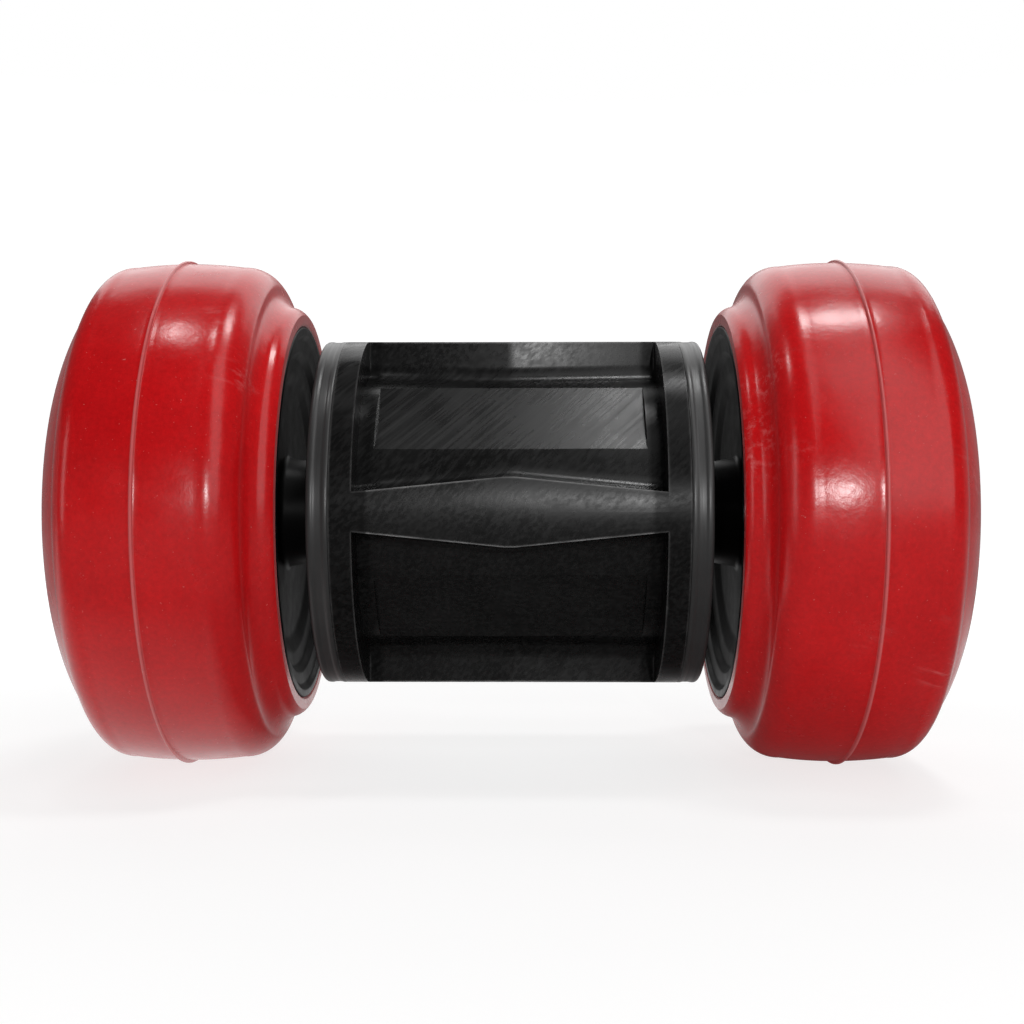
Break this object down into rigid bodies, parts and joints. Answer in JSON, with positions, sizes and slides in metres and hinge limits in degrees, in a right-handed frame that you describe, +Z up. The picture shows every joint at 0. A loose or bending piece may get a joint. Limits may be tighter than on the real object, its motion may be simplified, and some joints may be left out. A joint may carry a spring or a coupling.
{
  "type": "diabolo",
  "caption": "Bearing diabolo: two red rubber wheel-shaped cups with black dished hubs on one bolt, and a black ribbed string spool with grey collars turning between them.",
  "frame": {"origin": "middle of the axle, halfway between the two cups, which is the centre of the bounding box", "axes": "+X along the axle towards the cup with the lock nut, +Z up, so the diabolo lies on the treads of its cups"},
  "size_m": [0.1334, 0.081, 0.081],
  "materials": {
    "red_rubber": "satin moulded red rubber",
    "black_gloss": "very glossy black moulding",
    "black_moulding": "satin black moulding with fine scratches",
    "grey_moulding": "satin dark grey moulding",
    "plated_steel": "zinc-plated steel",
    "bearing_steel": "ground bearing steel",
    "nylon": "natural nylon",
    "cage_brass": "pressed brass"
  },
  "bodies": {
    "wheelset": {"cup_left": "red_rubber", "cup_right": "red_rubber", "hub_left": "black_gloss", "hub_right": "black_gloss", "clamp_plate_left": "plated_steel", "clamp_plate_right": "plated_steel", "axle_bolt": "plated_steel", "washers": "plated_steel", "lock_nut": "plated_steel", "nut_insert": "nylon", "hub_spacer_left": "plated_steel", "hub_spacer_right": "plated_steel", "inner_spacer": "plated_steel", "inner_ring_left": "bearing_steel", "inner_ring_right": "bearing_steel"},
    "spool": {"spool_core": "black_moulding", "collar_left": "grey_moulding", "collar_right": "grey_moulding", "outer_ring_left": "bearing_steel", "outer_ring_right": "bearing_steel", "shields_left": "bearing_steel", "shields_right": "bearing_steel"},
    "ball_set_left": {"balls_left": "bearing_steel", "cage_left": "cage_brass"},
    "ball_set_right": {"balls_right": "bearing_steel", "cage_right": "cage_brass"}
  },
  "joints": [
    {"name": "spool_spin", "type": "hinge", "parent": "wheelset", "child": "spool", "pos_m": [0, 0, 0], "axis": [1, 0, 0], "continuous": true},
    {"name": "balls_left_spin", "type": "hinge", "parent": "wheelset", "child": "ball_set_left", "pos_m": [0, 0, 0], "axis": [1, 0, 0], "continuous": true},
    {"name": "balls_right_spin", "type": "hinge", "parent": "wheelset", "child": "ball_set_right", "pos_m": [0, 0, 0], "axis": [1, 0, 0], "continuous": true}
  ],
  "couplings": [
    {"joint": "balls_left_spin", "follows": "spool_spin", "ratio": 0.632},
    {"joint": "balls_right_spin", "follows": "spool_spin", "ratio": 0.632}
  ]
}
